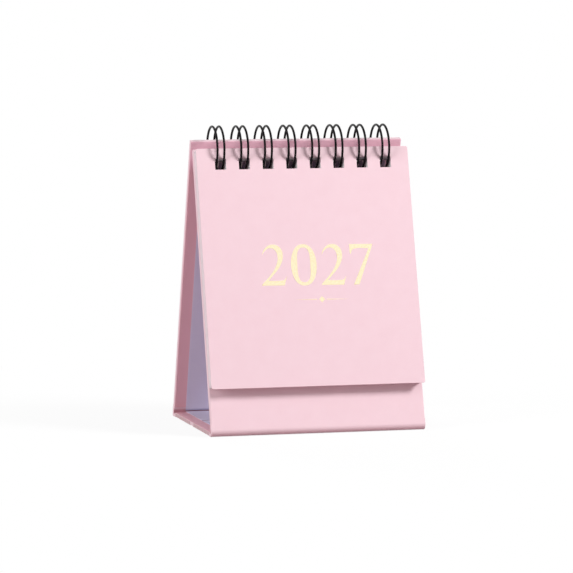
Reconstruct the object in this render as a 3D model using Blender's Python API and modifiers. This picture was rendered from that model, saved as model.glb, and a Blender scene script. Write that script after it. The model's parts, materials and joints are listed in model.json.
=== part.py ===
"""Mini desk calendar: a folding easel of wrapped greyboard with wire-bound sheets.

Units are metres, +Z is up, and the cover faces -Y. The easel is a tent of two
panels on a creased base. The sheets hang on a twin-loop wire whose centre line
is a circle about the ring axis, so sheets and back panel turn about that axis
with their holes sliding along the wire.
"""
import math

import bmesh
import bpy
from mathutils import Matrix, Vector

# Easel, measured over the paper
PANEL_WIDTH = 0.0762
PANEL_LENGTH = 0.1040
BASE_DEPTH = 0.0608
TOP_SPREAD = 0.0045
CREASE_GAP = 0.0050
FRONT_RISE = 0.0007
FRONT_FOOT_ROUND = 0.0020
REAR_FOOT_ROUND = 0.0008

# Layers of one wrapped board, from the inner face to the outer face
LINER = 0.00015
WRAP = 0.0002
PANEL_BOARD = 0.0015
BASE_BOARD = 0.0010
GLUE = 0.00005

# Paper laid over the boards
TURN_IN = 0.014
LINER_INSET = 0.0042
LINER_START = 0.0003
LINER_BELOW_HOLES = 0.0012
EDGE_ROUND = 0.0003
EDGE_SEGMENTS = 2

# Paper hinges
HINGE_SETBACK = 0.0015
HINGE_CORE = 0.0004
HINGE_JOINT = 0.0001
HINGE_STEPS = 12
FLAP_NOTCH = 0.0003
FLAP_LIFT = 0.00005

# Sheets
SHEET_COUNT = 12
SHEET_MARGIN = 0.0001
SHEET_LENGTH = 0.0840
SHEET_DROP = 0.0039
COVER_OVERHANG = 0.0008
SHEET_PAPER = 0.00023
COVER_CARD = 0.00036
SHEET_GAP = 0.00006
CORNER_CUT = 0.0004

# Binding
LOOP_COUNT = 8
LOOP_PITCH = 0.0254 / 3
LOOP_SPREAD = 0.00245
WIRE = 0.0008
RING_RADIUS = 0.0079
AXIS_DROP = 0.0028
AXIS_DEPTH = 0.0017
HOLE_SIDE_CLEARANCE = 0.00035
HOLE_CLEARANCE = 0.0003
RING_STEP = math.radians(15.0)
TIP_SETBACK = 0.0010
ROOT_SETBACK = 0.0028
ROOT_CORNER = 0.0010
BEND_STEPS = 4

# Sizes that follow from those above
TURN_IN_TOP = LINER + GLUE
BOARD_INNER = TURN_IN_TOP + WRAP + GLUE
THICKNESS = BOARD_INNER + PANEL_BOARD + GLUE + WRAP
BASE_THICKNESS = BOARD_INNER + BASE_BOARD + GLUE + WRAP
TILT = math.asin((BASE_DEPTH - TOP_SPREAD) / 2 / PANEL_LENGTH)
FOOT_ANGLE = math.pi / 2 - TILT
FOOT_RUN = (THICKNESS + BASE_THICKNESS * math.sin(TILT)) / math.cos(TILT)
FOOT_RISE = FOOT_RUN * math.sin(TILT) + BASE_THICKNESS * math.cos(TILT)
ROUND_CUT = 1 / math.tan(FOOT_ANGLE / 2)
PANEL_END = PANEL_LENGTH - FOOT_RISE
SHEET_WIDTH = PANEL_WIDTH - 2 * SHEET_MARGIN
STACK = SHEET_GAP + SHEET_COUNT * (SHEET_PAPER + SHEET_GAP) + COVER_CARD
SHEET_TOP = PANEL_END - SHEET_DROP
SHEET_BOTTOM = SHEET_TOP - SHEET_LENGTH
FRONT_END = SHEET_TOP + FRONT_RISE

# Side view, as (y, z) points
PANEL_UP = Vector((math.sin(TILT), math.cos(TILT)))
PANEL_OUT = Vector((-math.cos(TILT), math.sin(TILT)))
HALF_RUN = BASE_DEPTH / 2 - FOOT_RUN
COVER_CORNER = -HALF_RUN + SHEET_BOTTOM * PANEL_UP.x + (THICKNESS + STACK) * PANEL_OUT.x
FRONT_REACH = min(COVER_CORNER, -BASE_DEPTH / 2 + FRONT_FOOT_ROUND * (ROUND_CUT - 1))
REAR_REACH = BASE_DEPTH / 2 - REAR_FOOT_ROUND * (ROUND_CUT - 1)
MIDDLE = -(FRONT_REACH + REAR_REACH) / 2
FRONT_PIVOT = Vector((MIDDLE - HALF_RUN, BASE_THICKNESS))
REAR_PIVOT = Vector((MIDDLE + HALF_RUN, BASE_THICKNESS))
BASE_END = HALF_RUN - CREASE_GAP / 2
AXIS_ALONG = PANEL_END - AXIS_DROP
AXIS_ACROSS = THICKNESS - AXIS_DEPTH
RING_AXIS = FRONT_PIVOT + AXIS_ALONG * PANEL_UP + AXIS_ACROSS * PANEL_OUT
BACK_UP = Vector((-PANEL_UP.x, PANEL_UP.y))
AXIS_ALONG_BACK = (RING_AXIS - REAR_PIVOT).dot(BACK_UP)

# Holes, as distances below the ring axis along each panel
COVER_REACH = AXIS_DEPTH + STACK
COVER_CROSSING = math.sqrt(RING_RADIUS**2 - COVER_REACH**2)
HOLE_TOP = COVER_CROSSING - WIRE / 2 * RING_RADIUS / COVER_CROSSING - HOLE_CLEARANCE
HOLE_BOTTOM = RING_RADIUS + WIRE / 2 + HOLE_CLEARANCE
HOLE_WIDTH = LOOP_SPREAD + WIRE + 2 * HOLE_SIDE_CLEARANCE
LOOP_X = [(i - (LOOP_COUNT - 1) / 2) * LOOP_PITCH for i in range(LOOP_COUNT)]

# Where the wire crosses the front panel's inner face, as an angle about the ring axis
INNER_CROSSING = math.sqrt(RING_RADIUS**2 - AXIS_ACROSS**2)
CROSSING_POINT = -AXIS_ACROSS * PANEL_OUT - INNER_CROSSING * PANEL_UP
CROSSING_ANGLE = math.atan2(CROSSING_POINT.y, CROSSING_POINT.x)
TIP_ANGLE = CROSSING_ANGLE + TIP_SETBACK / RING_RADIUS + 2 * math.pi
ROOT_ANGLE = CROSSING_ANGLE + ROOT_SETBACK / RING_RADIUS

# Colours
PINK = (0.90, 0.63, 0.70)
GREY = (0.42, 0.40, 0.37)
LILAC = (0.80, 0.76, 0.84)
WHITE = (0.90, 0.88, 0.88)
BLACK = (0.012, 0.010, 0.012)

# How each panel's own frame stands: local Y runs away from its paper hinge
FRAMES = {
    "front": (FRONT_PIVOT, FOOT_ANGLE, 1),
    "base_front": (FRONT_PIVOT, 0.0, -1),
    "base_rear": (REAR_PIVOT, math.pi, 1),
    "back": (REAR_PIVOT, math.pi - FOOT_ANGLE, -1),
}


def material(name, colour, roughness, metallic=0.0):
    mat = bpy.data.materials.new(name)
    mat.use_nodes = True
    shader = mat.node_tree.nodes["Principled BSDF"]
    shader.inputs["Base Color"].default_value = (*colour, 1.0)
    shader.inputs["Roughness"].default_value = roughness
    shader.inputs["Metallic"].default_value = metallic
    return mat


def collection(name):
    group = bpy.data.collections.new(name)
    bpy.context.scene.collection.children.link(group)
    return group


def standing(pivot, angle):
    return Matrix.Translation((0.0, pivot.x, pivot.y)) @ Matrix.Rotation(angle, 4, "X")


def add_object(name, data, matrix, mat, group):
    data.materials.append(mat)
    obj = bpy.data.objects.new(name, data)
    obj.matrix_world = matrix
    group.objects.link(obj)
    return obj


def axis_empty(name, pivot):
    empty = bpy.data.objects.new(name, None)
    empty.location = (0.0, pivot.x, pivot.y)
    HELPERS.objects.link(empty)
    return empty


def hang_on(obj, empty):
    obj.parent = empty
    obj.matrix_parent_inverse = Matrix.Translation(empty.location).inverted()


def boxes_mesh(name, boxes):
    """One mesh of separate boxes, each given as two corners."""
    bm = bmesh.new()
    for low, high in boxes:
        size = [h - a for a, h in zip(low, high)]
        centre = [(a + h) / 2 for a, h in zip(low, high)]
        place = Matrix.Translation(centre) @ Matrix.Diagonal((*size, 1.0))
        bmesh.ops.create_cube(bm, size=1.0, matrix=place)
    mesh = bpy.data.meshes.new(name)
    bm.to_mesh(mesh)
    bm.free()
    return mesh


def slab(half_width, start, end, inner, outer, side):
    """Corners of a slab of one panel, with its depth counted towards the outer face."""
    low = (-half_width, start, min(side * inner, side * outer))
    high = (half_width, end, max(side * inner, side * outer))
    return low, high


def cutter(name, boxes, matrix):
    obj = bpy.data.objects.new(name, boxes_mesh(name, boxes))
    obj.matrix_world = matrix
    obj.hide_render = True
    obj.display_type = "WIRE"
    CUTTERS.objects.link(obj)
    return obj


def cut(obj, tool):
    mod = obj.modifiers.new(tool.name, "BOOLEAN")
    mod.operation = "DIFFERENCE"
    mod.solver = "EXACT"
    mod.object = tool


def hole_boxes(axis_along, side):
    """Boxes through every layer of one panel, at each loop of the wire."""
    boxes = []
    reach = 2 * THICKNESS
    for x in LOOP_X:
        low, high = slab(
            HOLE_WIDTH / 2, axis_along - HOLE_BOTTOM, axis_along - HOLE_TOP, -reach, reach, side
        )
        boxes.append(((low[0] + x, *low[1:]), (high[0] + x, *high[1:])))
    return boxes


def prism(name, outline, half_width, matrix, mat, group):
    """A closed outline in the local YZ plane, drawn out along X."""
    count = len(outline)
    points = [(x, y, z) for x in (-half_width, half_width) for y, z in outline]
    faces = [tuple(range(count)), tuple(range(2 * count - 1, count - 1, -1))]
    for i in range(count):
        j = (i + 1) % count
        faces.append((j, i, count + i, count + j))
    mesh = bpy.data.meshes.new(name)
    mesh.from_pydata(points, [], faces)
    bm = bmesh.new()
    bm.from_mesh(mesh)
    bmesh.ops.recalc_face_normals(bm, faces=bm.faces)
    bm.to_mesh(mesh)
    bm.free()
    return add_object(name, mesh, matrix, mat, group)


def wrapped_board(key, end, board_thickness, axis_along=None):
    """Greyboard, its paper wrap and its liner. A punched panel is also wrapped over its far end."""
    pivot, angle, side = FRAMES[key]
    matrix = standing(pivot, angle)
    half = PANEL_WIDTH / 2
    past = PANEL_WIDTH
    board_outer = BOARD_INNER + board_thickness
    outer = board_outer + GLUE + WRAP
    punched = axis_along is not None
    board_end = end - WRAP - GLUE if punched else end
    hollow_end = end - WRAP if punched else end + past
    window_end = end - TURN_IN if punched else end + past
    liner_end = axis_along - HOLE_BOTTOM - LINER_BELOW_HOLES if punched else end
    blank_end = end if punched else end + EDGE_ROUND * 2
    blank_start = HINGE_SETBACK - EDGE_ROUND * 2

    board_box = slab(half - WRAP - GLUE, HINGE_SETBACK, board_end, BOARD_INNER, board_outer, side)
    board = add_object(
        key + "_board",
        boxes_mesh(key + "_board", [board_box]),
        matrix,
        material(key + "_board", GREY, 0.9),
        PARTS,
    )

    wrap_box = slab(half, blank_start, blank_end, TURN_IN_TOP, outer, side)
    wrap = add_object(
        key + "_wrap",
        boxes_mesh(key + "_wrap", [wrap_box]),
        matrix,
        material(key + "_wrap", PINK, 0.6),
        PARTS,
    )
    edge = wrap.modifiers.new("edge", "BEVEL")
    edge.width = EDGE_ROUND
    edge.segments = EDGE_SEGMENTS
    hollow = slab(half - WRAP, -past, hollow_end, TURN_IN_TOP + WRAP, outer - WRAP, side)
    window = slab(half - TURN_IN, -past, window_end, -outer, outer / 2, side)
    trims = [slab(past, -past, HINGE_SETBACK, -past, past, side)]
    if not punched:
        trims.append(slab(past, end, end + past, -past, past, side))
    cut(wrap, cutter(key + "_hollow", [hollow], matrix))
    cut(wrap, cutter(key + "_window", [window], matrix))
    cut(wrap, cutter(key + "_trim", trims, matrix))

    liner_box = slab(half - LINER_INSET, LINER_START, liner_end, 0.0, LINER, side)
    liner = add_object(
        key + "_liner",
        boxes_mesh(key + "_liner", [liner_box]),
        matrix,
        material(key + "_liner", LILAC, 0.7),
        PARTS,
    )

    if punched:
        holes = cutter(key + "_holes", hole_boxes(axis_along, side), matrix)
        for obj in (board, wrap):
            cut(obj, holes)
    return [board, wrap, liner]


def hinge_outline(corner_round, mirror):
    """Side view of the paper folded round a foot, about the pivot of that foot."""
    tail = HINGE_SETBACK - HINGE_JOINT
    out_angle = math.atan2(PANEL_OUT.y, PANEL_OUT.x)
    down_angle = 1.5 * math.pi
    centre = Vector((corner_round * ROUND_CUT - FOOT_RUN, corner_round - BASE_THICKNESS))
    outline = [Vector((tail, -BASE_THICKNESS))]
    for i in range(HINGE_STEPS + 1):
        a = down_angle + (out_angle - down_angle) * i / HINGE_STEPS
        outline.append(centre + corner_round * Vector((math.cos(a), math.sin(a))))
    outline.append(THICKNESS * PANEL_OUT + tail * PANEL_UP)
    outline.append(HINGE_CORE * PANEL_OUT + tail * PANEL_UP)
    outline.append(Vector((-HINGE_CORE * ROUND_CUT, -HINGE_CORE)))
    outline.append(Vector((tail, -HINGE_CORE)))
    return [(mirror * point.x, point.y) for point in outline]


def crease_flap(key):
    """Folded paper between one half of the base and the crease in the middle."""
    pivot, angle, side = FRAMES[key]
    outer = BASE_THICKNESS - FLAP_LIFT
    start = BASE_END + HINGE_JOINT
    end = HALF_RUN - HINGE_JOINT / 2
    outline = [
        (start, side * outer),
        (end, side * (outer - FLAP_NOTCH)),
        (end, side * TURN_IN_TOP),
        (start, side * TURN_IN_TOP),
    ]
    name = key + "_flap"
    return prism(
        name, outline, PANEL_WIDTH / 2, standing(pivot, angle), material(name, PINK, 0.6), PARTS
    )


def closed_spline(curve, points):
    spline = curve.splines.new("POLY")
    spline.points.add(len(points) - 1)
    for point, (x, y) in zip(spline.points, points):
        point.co = (x, y, 0.0, 1.0)
    spline.use_cyclic_u = True


def sheet(name, inner, thickness, colour, bottom_end):
    """A punched sheet lying in front of the front panel, with its origin on the ring axis."""
    curve = bpy.data.curves.new(name, "CURVE")
    curve.dimensions = "2D"
    curve.fill_mode = "BOTH"
    curve.extrude = thickness / 2
    right = SHEET_WIDTH / 2
    top = SHEET_TOP - AXIS_ALONG
    bottom = bottom_end - AXIS_ALONG
    outline = []
    corners = ((right, bottom, -1, 1), (right, top, -1, -1), (-right, top, 1, -1), (-right, bottom, 1, 1))
    for n, (x, y, dx, dy) in enumerate(corners):
        across = (x + dx * CORNER_CUT, y)
        along = (x, y + dy * CORNER_CUT)
        outline += [across, along] if n % 2 == 0 else [along, across]
    closed_spline(curve, outline)
    for x in LOOP_X:
        low = x - HOLE_WIDTH / 2
        high = x + HOLE_WIDTH / 2
        closed_spline(
            curve, [(low, -HOLE_BOTTOM), (high, -HOLE_BOTTOM), (high, -HOLE_TOP), (low, -HOLE_TOP)]
        )
    middle = Matrix.Translation((0.0, 0.0, inner + thickness / 2 - AXIS_ACROSS))
    matrix = standing(RING_AXIS, FOOT_ANGLE) @ middle
    obj = add_object(name, curve, matrix, material(name, colour, 0.6), PARTS)
    hang_on(obj, AXIS)
    return obj


def wire_path():
    """Centre line of the binding as (x, angle): a hairpin loop at each hole, joined root to root."""
    half = LOOP_SPREAD / 2
    path = []
    corner = ROOT_CORNER / RING_RADIUS
    tip_start = TIP_ANGLE - half / RING_RADIUS
    leg_start = ROOT_ANGLE + corner
    steps = math.ceil((tip_start - leg_start) / RING_STEP)
    leg = [leg_start + (tip_start - leg_start) * i / steps for i in range(steps + 1)]
    bend = [math.pi / 2 * i / BEND_STEPS for i in range(BEND_STEPS)]
    for x in LOOP_X:
        left = x - half
        right = x + half
        if x != LOOP_X[0]:
            for a in bend:
                path.append((left - ROOT_CORNER * (1 - math.sin(a)), leg_start - corner * math.cos(a)))
        path += [(left, a) for a in leg]
        for i in range(1, 2 * BEND_STEPS):
            a = math.pi / 2 * i / BEND_STEPS
            path.append((x - half * math.cos(a), tip_start + half / RING_RADIUS * math.sin(a)))
        path += [(right, a) for a in reversed(leg)]
        if x != LOOP_X[-1]:
            for a in reversed(bend):
                path.append((right + ROOT_CORNER * (1 - math.sin(a)), leg_start - corner * math.cos(a)))
    return [Vector((x, RING_RADIUS * math.cos(a), RING_RADIUS * math.sin(a))) for x, a in path]


def least_self_gap(points, thickness):
    """Smallest air gap between stretches of one wire that are not next to each other."""
    along = [0.0]
    for p, q in zip(points, points[1:]):
        along.append(along[-1] + (q - p).length)
    apart = 2 * LOOP_SPREAD
    least = math.inf
    for i, p in enumerate(points):
        for j in range(i + 1, len(points)):
            if along[j] - along[i] > apart:
                least = min(least, (points[j] - p).length)
    return least - thickness


def binding():
    points = wire_path()
    curve = bpy.data.curves.new("wire_binding", "CURVE")
    curve.dimensions = "3D"
    curve.bevel_depth = WIRE / 2
    curve.bevel_resolution = 1
    curve.use_fill_caps = True
    spline = curve.splines.new("POLY")
    spline.points.add(len(points) - 1)
    for point, co in zip(spline.points, points):
        point.co = (*co, 1.0)
    print("wire_binding least gap to itself, mm:", round(least_self_gap(points, WIRE) * 1000, 3))
    matrix = Matrix.Translation((0.0, RING_AXIS.x, RING_AXIS.y))
    return add_object("wire_binding", curve, matrix, material("wire_binding", BLACK, 0.3), PARTS)


for old in list(bpy.data.objects):
    bpy.data.objects.remove(old)

PARTS = collection("mini_desk_calendar")
CUTTERS = collection("cutters")
HELPERS = collection("joint_axes")
AXIS = axis_empty("ring_axis", RING_AXIS)
FRONT_FOOT = axis_empty("front_foot_axis", FRONT_PIVOT)
REAR_FOOT = axis_empty("rear_foot_axis", REAR_PIVOT)
hang_on(REAR_FOOT, AXIS)

# Front panel, which carries the wire
wrapped_board("front", FRONT_END, PANEL_BOARD, AXIS_ALONG)
prism(
    "front_hinge_paper",
    hinge_outline(FRONT_FOOT_ROUND, 1),
    PANEL_WIDTH / 2,
    standing(FRONT_PIVOT, 0.0),
    material("front_hinge_paper", PINK, 0.6),
    PARTS,
)
binding()

# Back panel, which turns about the ring axis
for piece in wrapped_board("back", PANEL_END, PANEL_BOARD, AXIS_ALONG_BACK):
    hang_on(piece, AXIS)
rear_hinge = prism(
    "rear_hinge_paper",
    hinge_outline(REAR_FOOT_ROUND, -1),
    PANEL_WIDTH / 2,
    standing(REAR_PIVOT, 0.0),
    material("rear_hinge_paper", PINK, 0.6),
    PARTS,
)
hang_on(rear_hinge, AXIS)

# Two halves of the base, which fold up at the crease
for piece in wrapped_board("base_front", BASE_END, BASE_BOARD):
    hang_on(piece, FRONT_FOOT)
hang_on(crease_flap("base_front"), FRONT_FOOT)
for piece in wrapped_board("base_rear", BASE_END, BASE_BOARD):
    hang_on(piece, REAR_FOOT)
hang_on(crease_flap("base_rear"), REAR_FOOT)

# Sheets from the back of the block to the cover
level = THICKNESS + SHEET_GAP
for number in range(SHEET_COUNT, 0, -1):
    sheet(f"month_sheet_{number:02d}", level, SHEET_PAPER, WHITE, SHEET_BOTTOM + COVER_OVERHANG)
    level += SHEET_PAPER + SHEET_GAP
sheet("cover_sheet", level, COVER_CARD, PINK, SHEET_BOTTOM)
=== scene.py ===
"""Looks of the mini desk calendar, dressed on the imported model, in metres.

Paper, folds, wire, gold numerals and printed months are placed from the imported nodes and
joints. The camera is the one fitted to the photograph.
"""
import calendar
import json
import math

import bmesh
import bpy
from mathutils import Matrix, Vector


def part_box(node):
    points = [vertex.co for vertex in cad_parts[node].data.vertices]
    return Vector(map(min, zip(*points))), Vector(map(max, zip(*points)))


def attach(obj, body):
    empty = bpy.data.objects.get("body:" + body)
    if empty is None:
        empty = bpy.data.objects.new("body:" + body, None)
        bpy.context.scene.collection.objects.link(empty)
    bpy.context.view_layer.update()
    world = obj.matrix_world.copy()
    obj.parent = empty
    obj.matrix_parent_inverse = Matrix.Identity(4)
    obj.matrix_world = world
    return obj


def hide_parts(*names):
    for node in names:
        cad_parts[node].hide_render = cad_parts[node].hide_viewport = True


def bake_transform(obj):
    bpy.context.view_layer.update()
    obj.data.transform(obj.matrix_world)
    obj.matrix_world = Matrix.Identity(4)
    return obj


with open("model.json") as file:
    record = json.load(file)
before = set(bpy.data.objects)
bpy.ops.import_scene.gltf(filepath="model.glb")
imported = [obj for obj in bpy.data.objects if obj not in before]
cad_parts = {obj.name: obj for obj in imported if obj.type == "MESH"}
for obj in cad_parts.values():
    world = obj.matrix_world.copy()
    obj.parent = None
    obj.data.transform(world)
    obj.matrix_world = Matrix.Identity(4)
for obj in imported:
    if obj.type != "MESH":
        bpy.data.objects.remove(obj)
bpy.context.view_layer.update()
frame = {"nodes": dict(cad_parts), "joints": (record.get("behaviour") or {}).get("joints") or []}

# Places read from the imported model
MONTH_COUNT = 12
JOINTS = {joint["name"]: joint for joint in frame["joints"]}
RING_AXIS = Vector(JOINTS["stand_fold"]["pos_m"])
FRONT_FOOT = Vector(JOINTS["base_front_fold"]["pos_m"])
REAR_FOOT = Vector(JOINTS["base_rear_fold"]["pos_m"])
ACROSS = Vector((1.0, 0.0, 0.0))
UPRIGHT = Vector((0.0, 0.0, 1.0))
PANEL_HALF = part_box("front_wrap")[1].x
MONTHS = [f"month_sheet_{number:02d}" for number in range(1, MONTH_COUNT + 1)]

# Colours, as linear values
PINK = (0.895, 0.675, 0.730)
PINK_DEEP = (0.875, 0.645, 0.700)
# Painted shade: a deeper, redder pink on the faces inside the easel, for their shade
PINK_INSIDE_PAINTED_SHADE = (0.882, 0.512, 0.565)
# Painted shade: a cooler pink on the inside faces near the rings, which lie in shade
PINK_PAINTED_SHADE_BY_RINGS = (0.890, 0.540, 0.640)
# Painted shade: a dark line along the inside of each foot's fold
PINK_PAINTED_FOLD_SHADE = (0.620, 0.300, 0.350)
# Painted shade: near black on the inside faces behind the holes, where the loops pass
PINK_PAINTED_HOLE_SHADE = (0.140, 0.110, 0.140)
# Painted shade: a darker pink on the base halves' end faces
PINK_PAINTED_BASE_END_SHADE = (0.580, 0.380, 0.400)
LILAC = (0.755, 0.705, 0.840)
LILAC_DEEP = (0.715, 0.665, 0.810)
# Painted shade: a dark line in the lining along each foot's fold
LILAC_PAINTED_FOLD_SHADE = (0.480, 0.440, 0.600)
PAGE = (0.880, 0.850, 0.860)
PAGE_DEEP = (0.850, 0.810, 0.825)
PAGE_EDGE = (0.960, 0.800, 0.850)
BOARD = (0.400, 0.380, 0.355)
BOARD_SPECK = (0.240, 0.225, 0.210)
GOLD = (0.985, 0.870, 0.600)
GOLD_DEEP = (0.955, 0.805, 0.530)
ENAMEL = (0.004, 0.003, 0.004)
ENAMEL_WORN = (0.014, 0.012, 0.013)
INK = (0.150, 0.140, 0.150)
INK_PINK = (0.720, 0.300, 0.380)

# Noise patterns, as scale and detail
CLOUDS = (230.0, 3.0)
FIBRES = (5200.0, 2.0)
GRAIN = (2600.0, 3.0)
EDGE_TONE_AND_SHADE = (900.0, 4.0)
PULP = (1900.0, 5.0)
SPECKS = (3800.0, 2.0)
FOIL_PRESS = (1400.0, 3.0)
FOIL_RIPPLES = (4200.0, 2.0)
ENAMEL_WEAR = (1100.0, 4.0)
ENAMEL_RIPPLES = (6500.0, 2.0)
INK_PATCHES = (5200.0, 3.0)
EVEN = (1.0, 1.0, 1.0)
FIBRE_STRETCH = (1.0, 0.4, 0.4)
CLOUD_SHARE = 0.6

# Spans of a noise over which a colour or a roughness changes, and the shares that it gives
RISE = (0.0, 1.0)
FALL = (1.0, 0.0)
MIDDLE_SPAN = (0.3, 0.7)
EDGE_TONE_AND_SHADE_SPAN = (0.35, 0.65)
EDGE_TONE_AND_SHADE_SHARE = (0.70, 1.0)
PULP_SHARE = (0.0, 0.35)
SPECK_SPAN = (0.56, 0.66)
FOIL_SPAN = (0.35, 0.7)
ENAMEL_WEAR_SPAN = (0.52, 0.72)
ENAMEL_GLOSS_SPAN = (0.35, 0.7)
INK_SPAN = (0.35, 0.75)
INK_SHARE = (0.0, 0.30)

# Gloss, as specular levels and roughnesses
PAPER_SPECULAR = 0.2
ENAMEL_SPECULAR = 0.08
WRAP_ROUGHNESS = 0.55
COVER_ROUGHNESS = 0.50
LINER_ROUGHNESS = 0.70
PAGE_ROUGHNESS = 0.72
ROUGHNESS_SPREAD = 0.05
BOARD_ROUGHNESS = 0.9
INK_ROUGHNESS = 0.7
FOIL_ROUGHNESS = (0.16, 0.26)
ENAMEL_ROUGHNESS = (0.26, 0.42)

# Bump, as strength and depth
PAPER_BUMP = (0.12, 0.00003)
BOARD_BUMP = (0.4, 0.00006)
FOIL_BUMP = (0.10, 0.00002)
ENAMEL_BUMP = (0.08, 0.00002)

# Inputs and output of a Mix node that carry colours
MIX_INPUTS = (6, 7)
MIX_RESULT = 2

# Least part of a face's normal along a direction for the face to count as turned that way
FACING_LEAST = 0.5

# Edge tone near the side edges (painted shade on the base ends), painted shade lines in folds,
# and painted shade on the inside near the rings, by distance from the ring axis
EDGE_REACH = 0.0004
FOLD_SHADE_SPAN = (0.0004, 0.0012)
RING_SHADE_TINT_SPAN = (0.0070, 0.0100)
HOLE_SHADE_NEAR = 0.0062
HOLE_SHADE_FAR = 0.0108
HOLE_SHADE_FADE = 0.0020
HOLE_SHADE_HALF = 0.0345

# Wire
INCH = 0.0254
LOOPS_PER_INCH = 3
LOOP_COUNT = 8
LOOP_PITCH = INCH / LOOPS_PER_INCH
LOOP_SPREAD = 0.00245
WIRE = 0.0008
RING_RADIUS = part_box("wire_binding")[1].z - RING_AXIS.z - WIRE / 2
TIP_SETBACK = 0.0010
ROOT_SETBACK = 0.0028
ROOT_CORNER = 0.0010
RING_STEP = math.radians(15.0)
BEND_STEPS = 4
WIRE_SMOOTHING = 5
WIRE_SIDES = 4

# Paper folded round the feet
FRONT_FOOT_ROUND = 0.0020
REAR_FOOT_ROUND = 0.0008
FOOT_CORE = 0.0004
FOOT_TAIL = 0.0018
FOOT_PROUD = 0.000015
FOOT_STEPS = 40
SHARP_ANGLE = math.radians(40.0)

# Gold foil on the cover, measured down from its top edge
FOIL = 0.00003
FOIL_SMOOTHING = 10
STAMP_TURN = math.radians(-0.6)
DIGIT_HEIGHT = 0.0144
DIGIT_PITCH = 0.01062
DIGIT_LEFT = -0.01774
DIGIT_BASE = 0.0488
ORNAMENT_MIDDLE = 0.0033
ORNAMENT_DOWN = 0.0538
ORNAMENT_HALF = 0.0098
ORNAMENT_RULE = 0.00028
ORNAMENT_GAP = 0.0017
LOZENGE = 0.0011

# Print on the month sheets, measured down from the top edge
YEAR = 2027
MOST_DAYS = 31
WEEK = 7
REST_DAYS = (0, WEEK - 1)
PLAIN_INK = 0
REST_INK = 1
INK_LIFT = 0.000012
NUMBER_SMOOTHING = 3
BAR_HALF = 0.5
TITLE_SIZE = 0.0110
TITLE_LEFT = -0.0290
TITLE_DOWN = 0.0200
HEADER_DOWN = 0.0310
HEADER_MARK = (0.0040, 0.0007)
HEADER_RULE = (0.0640, 0.00025)
HEADER_RULE_DROP = 0.0030
DAY_SIZE = 0.0040
DAY_PITCH = 0.0096
WEEK_PITCH = 0.0077
FIRST_WEEK_DOWN = 0.0400

# Camera, as fitted to the photograph
IMAGE = 573
CAMERA_AZIMUTH = -14.897
CAMERA_ELEVATION = 5.114
CAMERA_DISTANCE = 1.1848
TARGET = Vector((0.0, 0.0, 0.052))
FOCAL_PIXELS = 3374.2
VIEW_CENTRE = (297.02, 275.60)
SENSOR = 36.0

# Light and floor; glossy surfaces mirror only a lamp that has glare
LAMP_DISTANCE = 1.6
LAMPS = {
    "key": dict(azimuth=54.0, elevation=35.0, size=0.48, power=23.2, glare=True),
    "fill": dict(azimuth=-69.0, elevation=18.0, size=1.00, power=15.0, glare=False),
    "rear": dict(azimuth=187.0, elevation=20.0, size=1.00, power=13.0, glare=False),
}
WORLD_WHITE = (1.0, 1.0, 1.0, 1.0)
WORLD_LIGHT = 0.18
FLOOR_HALF = 3.0
FLOOR_DROP = 0.0001
FLOOR_WHITE = (0.98, 0.98, 0.98)
FLOOR_BOUNCE = (0.44, 0.32, 0.34)
FLOOR_VEIL = 0.90
VEIL_SPAN = (0.05, 0.20)


def sheet_place(node):
    """Where a flat sheet's front face lies: X across, Y up from its top edge, Z out of the face."""
    mesh = frame["nodes"][node].data
    front = max(mesh.polygons, key=lambda face: face.area if face.normal.y < 0.0 else 0.0)
    out = front.normal.normalized()
    up = out.cross(ACROSS)
    top = max(vertex.co.dot(up) for vertex in mesh.vertices)
    level = max(vertex.co.dot(out) for vertex in mesh.vertices)
    axes = Matrix((ACROSS, up, out)).transposed().to_4x4()
    return Matrix.Translation(top * up + level * out) @ axes


COVER = sheet_place("cover_sheet")
PANEL_UP = COVER.col[1].xyz
PANEL_OUT = COVER.col[2].xyz
BASE_THICKNESS = FRONT_FOOT.z
PANEL_THICKNESS = max(
    (vertex.co - FRONT_FOOT).dot(PANEL_OUT)
    for vertex in frame["nodes"]["front_wrap"].data.vertices
)


def add_node(tree, kind, inputs=(), **settings):
    """A shader node, with each input given as a value or as a socket to link."""
    node = tree.nodes.new(kind)
    for key, value in settings.items():
        setattr(node, key, value)
    for key, value in dict(inputs).items():
        if isinstance(value, bpy.types.NodeSocket):
            tree.links.new(value, node.inputs[key])
        else:
            node.inputs[key].default_value = value
    return node


def new_material(name, values):
    """A material with the values that are the same all over it set on its shader."""
    material = bpy.data.materials.new(name)
    material.use_nodes = True
    tree = material.node_tree
    shader = tree.nodes["Principled BSDF"]
    for socket, value in values.items():
        shader.inputs[socket].default_value = value
    return material, tree, shader


def object_place(tree):
    """A point's place in its object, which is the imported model's frame for the solids."""
    return add_node(tree, "ShaderNodeTexCoord").outputs["Object"]


def noise(tree, pattern, stretch=EVEN):
    scale, detail = pattern
    mapping = add_node(
        tree, "ShaderNodeMapping", {"Vector": object_place(tree), "Scale": stretch}
    )
    texture = add_node(
        tree,
        "ShaderNodeTexNoise",
        {"Vector": mapping.outputs["Vector"], "Scale": scale, "Detail": detail},
    )
    return texture.outputs["Fac"]


def remap(tree, value, span, result=RISE):
    """A value's place in a span, carried over to the span of the result."""
    node = add_node(
        tree,
        "ShaderNodeMapRange",
        {
            "Value": value,
            "From Min": span[0],
            "From Max": span[1],
            "To Min": result[0],
            "To Max": result[1],
        },
    )
    return node.outputs["Result"]


def math_node(tree, operation, first, second=0.0):
    return add_node(tree, "ShaderNodeMath", {0: first, 1: second}, operation=operation).outputs[0]


def vector_node(tree, operation, inputs):
    return add_node(tree, "ShaderNodeVectorMath", inputs, operation=operation).outputs


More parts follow.
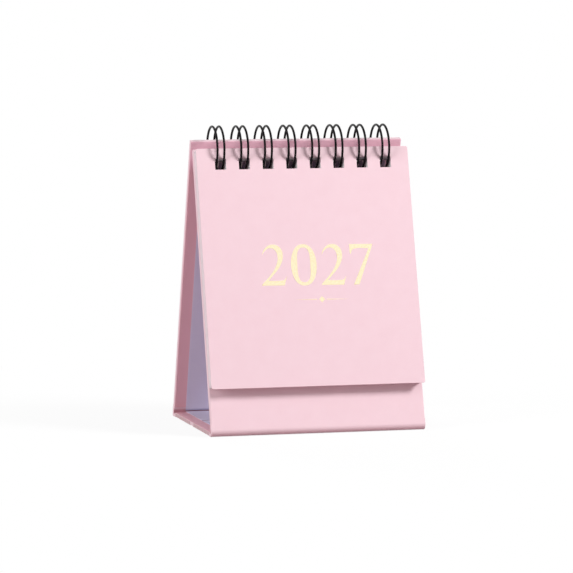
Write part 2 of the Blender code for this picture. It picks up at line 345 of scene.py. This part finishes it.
def mix_colours(tree, factor, first, second):
    """Colour between two others, each a colour or a socket."""
    node = add_node(tree, "ShaderNodeMix", {0: factor}, data_type="RGBA")
    for index, colour in zip(MIX_INPUTS, (first, second)):
        if isinstance(colour, bpy.types.NodeSocket):
            tree.links.new(colour, node.inputs[index])
        else:
            node.inputs[index].default_value = (*colour, 1.0)
    return node.outputs[MIX_RESULT]


def add_bump(tree, shader, height, bump):
    strength, depth = bump
    node = add_node(
        tree, "ShaderNodeBump", {"Height": height, "Strength": strength, "Distance": depth}
    )
    tree.links.new(node.outputs["Normal"], shader.inputs["Normal"])


def off_middle(tree):
    """How far a point lies to the left or to the right of the middle."""
    split = add_node(tree, "ShaderNodeSeparateXYZ", {"Vector": object_place(tree)})
    return math_node(tree, "ABSOLUTE", split.outputs["X"])


def side_edge_mask(tree, half, reach):
    """Rises from 0 to 1 over the last stretch before a panel's left and right edges."""
    return remap(tree, off_middle(tree), (half - reach, half))


def middle_mask(tree, half):
    """1 within a width about the middle, 0 beyond it."""
    return math_node(tree, "LESS_THAN", off_middle(tree), half)


def facing_mask(tree, direction):
    """1 on faces turned towards a direction of the object, 0 elsewhere."""
    normal = add_node(tree, "ShaderNodeTexCoord").outputs["Normal"]
    facing = vector_node(tree, "DOT_PRODUCT", {0: normal, 1: direction})["Value"]
    return math_node(tree, "GREATER_THAN", facing, FACING_LEAST)


def axis_distance(tree, axis):
    """Distance from a line across the part, given by its point in the middle plane."""
    flat = vector_node(tree, "MULTIPLY", {0: object_place(tree), 1: (0.0, 1.0, 1.0)})["Vector"]
    return vector_node(tree, "DISTANCE", {0: flat, 1: axis})["Value"]


def fold_mask(tree, foot):
    """1 for painted shade inside the fold at a foot, fading out a little way from its axis."""
    return remap(tree, axis_distance(tree, foot), FOLD_SHADE_SPAN, FALL)


def wire_rub_mask(tree):
    """1 in a band of painted shade where the loops pass through the paper,
    fading out at its sides and ends.
    """
    reach = axis_distance(tree, RING_AXIS)
    near = remap(tree, reach, (HOLE_SHADE_NEAR - HOLE_SHADE_FADE, HOLE_SHADE_NEAR))
    far = remap(tree, reach, (HOLE_SHADE_FAR, HOLE_SHADE_FAR + HOLE_SHADE_FADE), FALL)
    ends = side_edge_mask(tree, HOLE_SHADE_HALF, HOLE_SHADE_FADE)
    band = math_node(tree, "MULTIPLY", near, far)
    return math_node(tree, "MULTIPLY", band, math_node(tree, "SUBTRACT", 1.0, ends))


def inside_colour(tree):
    """Painted shade inside: deeper pink, cooler near the rings, near black behind the holes."""
    ring_shade_tint = remap(tree, axis_distance(tree, RING_AXIS), RING_SHADE_TINT_SPAN, FALL)
    pink = mix_colours(tree, ring_shade_tint, PINK_INSIDE_PAINTED_SHADE, PINK_PAINTED_SHADE_BY_RINGS)
    return mix_colours(tree, wire_rub_mask(tree), pink, PINK_PAINTED_HOLE_SHADE)


def paper(name, colour, deep, roughness, edge=None, inside=None, lined_half=None, fold=None):
    """Matt paper with soft clouding and fine fibres.

    It may have side edges in a colour of their own, in patches (painted shade on the base ends),
    and painted shade on the inside that faces one direction, with a lilac lining within a width.
    It may have a painted shade line in a fold, given as the fold's axis and colour.
    """
    material, tree, shader = new_material(name, {"Specular IOR Level": PAPER_SPECULAR})
    cloud = noise(tree, CLOUDS)
    fibre = noise(tree, FIBRES, FIBRE_STRETCH)
    cloud_part = math_node(tree, "MULTIPLY", cloud, CLOUD_SHARE)
    fibre_part = math_node(tree, "MULTIPLY", fibre, 1.0 - CLOUD_SHARE)
    tone = math_node(tree, "ADD", cloud_part, fibre_part)
    shade = mix_colours(tree, remap(tree, tone, MIDDLE_SPAN), deep, colour)
    if edge is not None:
        # Patches of edge colour, which on the base ends is painted shade
        wear = remap(tree, noise(tree, EDGE_TONE_AND_SHADE), EDGE_TONE_AND_SHADE_SPAN, EDGE_TONE_AND_SHADE_SHARE)
        near_edge = side_edge_mask(tree, PANEL_HALF, EDGE_REACH)
        shade = mix_colours(tree, math_node(tree, "MULTIPLY", near_edge, wear), shade, edge)
    # The inside faces take painted shade.
    if inside is not None:
        within = facing_mask(tree, inside)
        shade = mix_colours(tree, within, shade, inside_colour(tree))
        if lined_half is not None:
            lined = math_node(tree, "MULTIPLY", within, middle_mask(tree, lined_half))
            shade = mix_colours(tree, lined, shade, LILAC)
    # A line of painted shade along the inside of the fold
    if fold is not None:
        foot, fold_shade_colour = fold
        shade = mix_colours(tree, fold_mask(tree, foot), shade, fold_shade_colour)
    tree.links.new(shade, shader.inputs["Base Color"])
    spread = (roughness - ROUGHNESS_SPREAD, roughness + ROUGHNESS_SPREAD)
    tree.links.new(remap(tree, cloud, MIDDLE_SPAN, spread), shader.inputs["Roughness"])
    relief = math_node(tree, "ADD", fibre, noise(tree, GRAIN))
    add_bump(tree, shader, relief, PAPER_BUMP)
    return material


def greyboard(name):
    """Recycled board with darker specks of pulp."""
    material, tree, shader = new_material(
        name, {"Roughness": BOARD_ROUGHNESS, "Specular IOR Level": PAPER_SPECULAR}
    )
    pulp = noise(tree, PULP)
    speck = remap(tree, noise(tree, SPECKS), SPECK_SPAN)
    body = mix_colours(tree, remap(tree, pulp, MIDDLE_SPAN, PULP_SHARE), BOARD, BOARD_SPECK)
    tree.links.new(mix_colours(tree, speck, body, BOARD_SPECK), shader.inputs["Base Color"])
    add_bump(tree, shader, pulp, BOARD_BUMP)
    return material


def gold_foil(name):
    """Hot-stamped foil: metal that picks up the paper's unevenness."""
    material, tree, shader = new_material(name, {"Metallic": 1.0})
    press = noise(tree, FOIL_PRESS)
    gold = mix_colours(tree, remap(tree, press, FOIL_SPAN), GOLD, GOLD_DEEP)
    tree.links.new(gold, shader.inputs["Base Color"])
    gloss = remap(tree, press, MIDDLE_SPAN, FOIL_ROUGHNESS)
    tree.links.new(gloss, shader.inputs["Roughness"])
    add_bump(tree, shader, noise(tree, FOIL_RIPPLES), FOIL_BUMP)
    return material


def enamelled_wire(name):
    """Black coated wire, with the coat rubbed a little grey in patches."""
    material, tree, shader = new_material(name, {"Specular IOR Level": ENAMEL_SPECULAR})
    wear = noise(tree, ENAMEL_WEAR)
    coat = mix_colours(tree, remap(tree, wear, ENAMEL_WEAR_SPAN), ENAMEL, ENAMEL_WORN)
    tree.links.new(coat, shader.inputs["Base Color"])
    gloss = remap(tree, wear, ENAMEL_GLOSS_SPAN, ENAMEL_ROUGHNESS)
    tree.links.new(gloss, shader.inputs["Roughness"])
    add_bump(tree, shader, noise(tree, ENAMEL_RIPPLES), ENAMEL_BUMP)
    return material


def printing_ink(name, colour):
    """Ink that lies a little unevenly on uncoated paper."""
    material, tree, shader = new_material(
        name, {"Roughness": INK_ROUGHNESS, "Specular IOR Level": PAPER_SPECULAR}
    )
    bare = remap(tree, noise(tree, INK_PATCHES), INK_SPAN, INK_SHARE)
    tree.links.new(mix_colours(tree, bare, colour, PAGE), shader.inputs["Base Color"])
    return material


def dress(node, material):
    slots = frame["nodes"][node].data.materials
    slots.clear()
    slots.append(material)


def dress_easel_and_sheets():
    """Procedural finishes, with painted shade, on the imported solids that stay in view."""
    board = greyboard("greyboard")
    insides = {
        "front": -PANEL_OUT,
        "back": Vector((0.0, PANEL_OUT.y, -PANEL_OUT.z)),
        "base_front": UPRIGHT,
        "base_rear": UPRIGHT,
    }
    for panel, inside in insides.items():
        foot = FRONT_FOOT if "front" in panel else REAR_FOOT
        # Painted shade on each wrap's inside faces and along its foot's fold, and on the base ends
        wrap = paper(
            panel + "_paper",
            PINK,
            PINK_DEEP,
            WRAP_ROUGHNESS,
            edge=PINK_PAINTED_BASE_END_SHADE if "base" in panel else None,
            inside=inside,
            fold=(foot, PINK_PAINTED_FOLD_SHADE),
        )
        # The lining gets a line of painted shade along the fold
        lining = paper(
            panel + "_lining", LILAC, LILAC_DEEP, LINER_ROUGHNESS, fold=(foot, LILAC_PAINTED_FOLD_SHADE)
        )
        dress(panel + "_wrap", wrap)
        dress(panel + "_liner", lining)
        dress(panel + "_board", board)
    # The flaps' top faces take the inside's painted shade, with the lilac lining in the middle
    crease = paper(
        "crease_paper",
        PINK,
        PINK_DEEP,
        WRAP_ROUGHNESS,
        inside=UPRIGHT,
        lined_half=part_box("base_front_liner")[1].x,
    )
    for flap in ("base_front_flap", "base_rear_flap"):
        dress(flap, crease)
    page = paper("page_stock", PAGE, PAGE_DEEP, PAGE_ROUGHNESS, edge=PAGE_EDGE)
    for month in MONTHS:
        dress(month, page)
    dress("cover_sheet", paper("cover_card", PINK, PINK_DEEP, COVER_ROUGHNESS))


def add_piece(name, data, matrix=None):
    piece = bpy.data.objects.new(name, data)
    bpy.context.scene.collection.objects.link(piece)
    if matrix is not None:
        piece.matrix_world = matrix
    return piece


def evaluated_mesh(piece):
    """A new mesh of what a curve or text piece shows."""
    graph = bpy.context.evaluated_depsgraph_get()
    return bpy.data.meshes.new_from_object(piece.evaluated_get(graph))


def to_mesh(curve_piece):
    """The same piece with its curve turned into a mesh."""
    mesh = evaluated_mesh(curve_piece)
    name = curve_piece.name
    matrix = curve_piece.matrix_world.copy()
    bpy.data.objects.remove(curve_piece)
    mesh.name = name
    return add_piece(name, mesh, matrix)


def mesh_from(bm, name):
    """A mesh with the faces of a bmesh, which is freed."""
    mesh = bpy.data.meshes.new(name)
    bm.to_mesh(mesh)
    bm.free()
    return mesh


def square_mesh(name, half):
    bm = bmesh.new()
    bmesh.ops.create_grid(bm, x_segments=1, y_segments=1, size=half)
    return mesh_from(bm, name)


def wire_path():
    """Centre line of the binding: a hairpin loop at each hole, joined root to root."""
    across = (RING_AXIS - FRONT_FOOT).dot(PANEL_OUT)
    drop = math.sqrt(RING_RADIUS**2 - across**2)
    crossing = -across * PANEL_OUT - drop * PANEL_UP
    crossing_angle = math.atan2(crossing.z, crossing.y)
    half = LOOP_SPREAD / 2
    corner = ROOT_CORNER / RING_RADIUS
    tip_start = crossing_angle + (TIP_SETBACK - half) / RING_RADIUS + 2 * math.pi
    leg_start = crossing_angle + ROOT_SETBACK / RING_RADIUS + corner
    steps = math.ceil((tip_start - leg_start) / RING_STEP)
    leg = [leg_start + (tip_start - leg_start) * i / steps for i in range(steps + 1)]
    bend = [math.pi / 2 * i / BEND_STEPS for i in range(BEND_STEPS)]
    root = [(ROOT_CORNER * (1 - math.sin(a)), leg_start - corner * math.cos(a)) for a in bend]
    middles = [(i - (LOOP_COUNT - 1) / 2) * LOOP_PITCH for i in range(LOOP_COUNT)]
    path = []
    for x in middles:
        left = x - half
        right = x + half
        if x != middles[0]:
            path += [(left - step, a) for step, a in root]
        path += [(left, a) for a in leg]
        for i in range(1, 2 * BEND_STEPS):
            a = math.pi / 2 * i / BEND_STEPS
            path.append((x - half * math.cos(a), tip_start + half / RING_RADIUS * math.sin(a)))
        path += [(right, a) for a in reversed(leg)]
        if x != middles[-1]:
            path += [(right + step, a) for step, a in reversed(root)]
    return [Vector((x, RING_RADIUS * math.cos(a), RING_RADIUS * math.sin(a))) for x, a in path]


def smooth_wire():
    """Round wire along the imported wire's path, with a smooth bend at every point."""
    points = wire_path()
    curve = bpy.data.curves.new("wire_loops", "CURVE")
    curve.dimensions = "3D"
    curve.bevel_depth = WIRE / 2
    curve.bevel_resolution = WIRE_SIDES
    curve.resolution_u = WIRE_SMOOTHING
    curve.use_fill_caps = True
    spline = curve.splines.new("BEZIER")
    spline.bezier_points.add(len(points) - 1)
    for knot, point in zip(spline.bezier_points, points):
        knot.co = point
        knot.handle_left_type = "AUTO"
        knot.handle_right_type = "AUTO"
    curve.materials.append(enamelled_wire("black_enamel"))
    wire = to_mesh(add_piece("wire_loops", curve, Matrix.Translation(RING_AXIS)))
    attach(wire, "front_panel")
    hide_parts("wire_binding")


def foot_outline(out, up, base, corner_round):
    """Side view of the paper folded round a foot, about its axis, from the panel to the base."""
    down = -UPRIGHT
    turn = out.angle(down)
    lean = math.cos(turn)
    panel = PANEL_THICKNESS + FOOT_PROUD
    base_half = BASE_THICKNESS + FOOT_PROUD
    sides = (panel - lean * base_half) * out + (base_half - lean * panel) * down
    corner = sides / (1 - lean**2)
    inwards = (out + down) / (1 + lean)
    centre = corner - corner_round * inwards
    outline = [panel * out + FOOT_TAIL * up]
    for step in range(FOOT_STEPS + 1):
        share = step / FOOT_STEPS
        side = math.sin((1 - share) * turn) / math.sin(turn)
        under = math.sin(share * turn) / math.sin(turn)
        outline.append(centre + corner_round * (side * out + under * down))
    outline.append(base_half * down + FOOT_TAIL * base)
    outline.append(FOOT_CORE * down + FOOT_TAIL * base)
    outline.append(FOOT_CORE * inwards)
    outline.append(FOOT_CORE * out + FOOT_TAIL * up)
    return outline


def foot_paper(name, foot, mirror, corner_round, node):
    """The folded paper of one foot."""
    out = Vector((0.0, mirror * PANEL_OUT.y, PANEL_OUT.z))
    up = Vector((0.0, mirror * PANEL_UP.y, PANEL_UP.z))
    outline = foot_outline(out, up, Vector((0.0, mirror, 0.0)), corner_round)
    bm = bmesh.new()
    ends = []
    half = PANEL_HALF + FOOT_PROUD
    for x in (-half, half):
        ends.append([bm.verts.new(foot + point + x * ACROSS) for point in outline])
    for i in range(len(outline)):
        bm.faces.new((ends[0][i - 1], ends[1][i - 1], ends[1][i], ends[0][i]))
    for end in ends:
        bm.faces.new(end)
    bmesh.ops.recalc_face_normals(bm, faces=bm.faces)
    mesh = mesh_from(bm, name)
    # A line of painted shade along the inside of the fold
    mesh.materials.append(paper(name, PINK, PINK_DEEP, WRAP_ROUGHNESS, fold=(foot, PINK_PAINTED_FOLD_SHADE)))
    piece = add_piece(name, mesh)
    mesh.shade_smooth()
    mesh.set_sharp_from_angle(angle=SHARP_ANGLE)
    end = foot - BASE_THICKNESS * UPRIGHT
    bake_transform(piece)
    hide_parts(node)


def foot_papers():
    foot_paper(
        "front_foot_paper",
        FRONT_FOOT,
        1,
        FRONT_FOOT_ROUND,
        "front_hinge_paper",
    )
    foot_paper(
        "rear_foot_paper",
        REAR_FOOT,
        -1,
        REAR_FOOT_ROUND,
        "rear_hinge_paper",
    )


def bezier_outline(curve, points, place):
    """A closed outline of (x, y, corner) points, set in its place on a curve."""
    spline = curve.splines.new("BEZIER")
    spline.bezier_points.add(len(points) - 1)
    for knot, (x, y, corner) in zip(spline.bezier_points, points):
        knot.co = place @ Vector((x, y, 0.0))
        kind = "VECTOR" if corner else "AUTO"
        knot.handle_left_type = kind
        knot.handle_right_type = kind
    spline.use_cyclic_u = True


def oval(middle, half_width, half_height):
    """Four smooth points of an oval about its middle."""
    x, y = middle
    return [
        (x + half_width, y, False),
        (x, y + half_height, False),
        (x - half_width, y, False),
        (x, y - half_height, False),
    ]


# Outlines of the numerals, in units of their height, as (x, y, corner)
TWO = [
    [
        (0.036, 0.745, True),
        (0.098, 0.888, False),
        (0.285, 1.000, False),
        (0.483, 0.930, False),
        (0.552, 0.735, False),
        (0.470, 0.475, False),
        (0.285, 0.245, False),
        (0.165, 0.118, True),
        (0.455, 0.118, False),
        (0.560, 0.140, False),
        (0.622, 0.225, True),
        (0.560, 0.000, True),
        (0.000, 0.000, True),
        (0.012, 0.038, True),
        (0.225, 0.262, False),
        (0.365, 0.470, False),
        (0.420, 0.690, False),
        (0.365, 0.858, False),
        (0.245, 0.914, False),
        (0.130, 0.858, False),
    ]
]
NOUGHT = [oval((0.322, 0.497), 0.318, 0.508), oval((0.322, 0.497), 0.160, 0.425)]
SEVEN = [
    [
        (0.000, 0.995, True),
        (0.580, 0.995, True),
        (0.580, 0.958, True),
        (0.204, 0.000, True),
        (0.066, 0.000, True),
        (0.480, 0.884, True),
        (0.150, 0.884, False),
        (0.072, 0.850, False),
        (0.040, 0.760, True),
        (0.008, 0.760, True),
    ]
]


def foil_curve(name):
    curve = bpy.data.curves.new(name, "CURVE")
    curve.dimensions = "2D"
    curve.fill_mode = "BOTH"
    curve.extrude = FOIL / 2
    curve.resolution_u = FOIL_SMOOTHING
    return curve


def numerals_curve():
    """The year in plain numerals."""
    numerals = foil_curve("cover_numerals")
    for position, digit in enumerate((TWO, NOUGHT, TWO, SEVEN)):
        left = DIGIT_LEFT + position * DIGIT_PITCH
        place = Matrix.Translation((left, -DIGIT_BASE, 0.0)) @ Matrix.Scale(DIGIT_HEIGHT, 4)
        for outline in digit:
            bezier_outline(numerals, outline, place)
    return numerals


def ornament_curve():
    """A lozenge between two tapered rules."""
    ornament = foil_curve("cover_ornament")
    place = Matrix.Translation((ORNAMENT_MIDDLE, -ORNAMENT_DOWN, 0.0))
    half_rule = ORNAMENT_RULE / 2
    for side in (-1, 1):
        near = side * ORNAMENT_GAP
        far = side * ORNAMENT_HALF
        rule = [(near, -half_rule, True), (far, 0.0, True), (near, half_rule, True)]
        bezier_outline(ornament, rule, place)
    corners = [(LOZENGE, 0.0), (0.0, LOZENGE), (-LOZENGE, 0.0), (0.0, -LOZENGE)]
    bezier_outline(ornament, [(x, y, True) for x, y in corners], place)
    return ornament


def cover_foil():
    """Year numerals and a plain ornament stamped in gold on the cover, a little askew."""
    foil = gold_foil("gold_foil")
    curves = (numerals_curve(), ornament_curve())
    middle = Vector((ORNAMENT_MIDDLE, DIGIT_HEIGHT / 2 - DIGIT_BASE, FOIL / 2))
    turned = COVER @ Matrix.Translation(middle) @ Matrix.Rotation(STAMP_TURN, 4, "Z")
    stamp_place = turned @ Matrix.Translation((-middle.x, -middle.y, 0.0))
    for curve in curves:
        curve.materials.append(foil)
        piece = to_mesh(add_piece(curve.name, curve, stamp_place))
        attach(piece, "cover")


def number_mesh(number):
    """A flat mesh of one plain number, centred on its middle."""
    text = bpy.data.curves.new("number", "FONT")
    text.body = str(number)
    text.align_x = "CENTER"
    text.align_y = "CENTER"
    text.resolution_u = NUMBER_SMOOTHING
    holder = add_piece("number", text)
    mesh = evaluated_mesh(holder)
    bpy.data.objects.remove(holder)
    return mesh


def stamp(bm, mesh, x, down, size, ink):
    """Adds a copy of a flat mesh to a sheet's print, in one of its inks."""
    first_vert = len(bm.verts)
    first_face = len(bm.faces)
    bm.from_mesh(mesh)
    bm.verts.ensure_lookup_table()
    bm.faces.ensure_lookup_table()
    for vert in bm.verts[first_vert:]:
        vert.co = Vector((x + size[0] * vert.co.x, size[1] * vert.co.y - down, INK_LIFT))
    for face in bm.faces[first_face:]:
        face.material_index = ink


def month_grid(month, numbers, bar):
    """One month's print: its number, a bar for each day of the week, and its days in rows."""
    bm = bmesh.new()
    stamp(bm, numbers[month], TITLE_LEFT, TITLE_DOWN, (TITLE_SIZE, TITLE_SIZE), REST_INK)
    stamp(bm, bar, 0.0, HEADER_DOWN + HEADER_RULE_DROP, HEADER_RULE, PLAIN_INK)
    columns = [(column - WEEK // 2) * DAY_PITCH for column in range(WEEK)]
    inks = [REST_INK if column in REST_DAYS else PLAIN_INK for column in range(WEEK)]
    for x, ink in zip(columns, inks):
        stamp(bm, bar, x, HEADER_DOWN, HEADER_MARK, ink)
    weeks = calendar.Calendar(calendar.SUNDAY).monthdayscalendar(YEAR, month)
    for week, days in enumerate(weeks):
        down = FIRST_WEEK_DOWN + week * WEEK_PITCH
        for day, x, ink in zip(days, columns, inks):
            if day:
                stamp(bm, numbers[day], x, down, (DAY_SIZE, DAY_SIZE), ink)
    return mesh_from(bm, f"month_print_{month:02d}")


def month_prints():
    """A plain month grid of day numbers on each sheet, with rest days in pink."""
    inks = [printing_ink("grey_ink", INK), printing_ink("pink_ink", INK_PINK)]
    numbers = {number: number_mesh(number) for number in range(1, MOST_DAYS + 1)}
    bar = square_mesh("bar", BAR_HALF)
    for month, node in enumerate(MONTHS, 1):
        mesh = month_grid(month, numbers, bar)
        for ink in inks:
            mesh.materials.append(ink)
        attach(add_piece(mesh.name, mesh, sheet_place(node)), f"sheet_{month:02d}")
    for mesh in (bar, *numbers.values()):
        bpy.data.meshes.remove(mesh)


def aim(thing, azimuth, elevation, distance):
    """Puts a camera or a lamp round the part, looking at its middle.

    Azimuth 0 is straight in front, and 90 is on the right.
    """
    a = math.radians(azimuth)
    e = math.radians(elevation)
    towards = Vector((math.sin(a) * math.cos(e), -math.cos(a) * math.cos(e), math.sin(e)))
    thing.location = TARGET + distance * towards
    thing.rotation_euler = towards.to_track_quat("Z", "Y").to_euler()
    bpy.context.scene.collection.objects.link(thing)


def make_camera():
    data = bpy.data.cameras.new("camera")
    data.sensor_width = SENSOR
    data.lens = FOCAL_PIXELS / IMAGE * SENSOR
    data.shift_x = (IMAGE / 2 - VIEW_CENTRE[0]) / IMAGE
    data.shift_y = (VIEW_CENTRE[1] - IMAGE / 2) / IMAGE
    camera = bpy.data.objects.new("camera", data)
    aim(camera, CAMERA_AZIMUTH, CAMERA_ELEVATION, CAMERA_DISTANCE)
    bpy.context.scene.camera = camera


def soft_lamp(name, azimuth, elevation, size, power, glare):
    """A round soft lamp aimed at the part."""
    data = bpy.data.lights.new(name, "AREA")
    data.shape = "DISK"
    data.size = size
    data.energy = power
    lamp = bpy.data.objects.new(name, data)
    lamp.visible_glossy = glare
    aim(lamp, azimuth, elevation, LAMP_DISTANCE)


def seen_directly(tree):
    """1 for rays that show the backdrop itself, 0 for those that light the object."""
    path = add_node(tree, "ShaderNodeLightPath")
    seen = path.outputs["Is Camera Ray"]
    for kind in ("Is Glossy Ray", "Is Transmission Ray"):
        seen = math_node(tree, "MAXIMUM", seen, path.outputs[kind])
    return seen


def make_world():
    """White where it is seen, and a plain soft light elsewhere."""
    world = bpy.data.worlds.new("studio")
    world.use_nodes = True
    tree = world.node_tree
    background = tree.nodes["Background"]
    background.inputs["Color"].default_value = WORLD_WHITE
    light = remap(tree, seen_directly(tree), RISE, (WORLD_LIGHT, 1.0))
    tree.links.new(light, background.inputs["Strength"])
    bpy.context.scene.world = world


def make_floor():
    """A pale floor that keeps the object's shadow and turns to plain white further off."""
    mesh = square_mesh("floor", FLOOR_HALF)
    material = bpy.data.materials.new("floor")
    material.use_nodes = True
    tree = material.node_tree
    tree.nodes.remove(tree.nodes["Principled BSDF"])
    seen = seen_directly(tree)
    tint = mix_colours(tree, seen, FLOOR_BOUNCE, FLOOR_WHITE)
    matt = add_node(tree, "ShaderNodeBsdfDiffuse", {"Color": tint})
    white = add_node(tree, "ShaderNodeEmission")
    reach = vector_node(tree, "LENGTH", {0: object_place(tree)})["Value"]
    veil = remap(tree, reach, VEIL_SPAN, (FLOOR_VEIL, 1.0))
    factor = math_node(tree, "MULTIPLY", veil, seen)
    blend = add_node(
        tree, "ShaderNodeMixShader", {0: factor, 1: matt.outputs[0], 2: white.outputs[0]}
    )
    tree.links.new(blend.outputs[0], tree.nodes["Material Output"].inputs["Surface"])
    mesh.materials.append(material)
    floor = add_piece("floor", mesh, Matrix.Translation((0.0, 0.0, -FLOOR_DROP)))


dress_easel_and_sheets()
smooth_wire()
foot_papers()
cover_foil()
month_prints()
make_camera()
make_world()
make_floor()
for lamp_name, lamp_values in LAMPS.items():
    soft_lamp(lamp_name, **lamp_values)
bpy.context.scene.view_settings.view_transform = "Standard"
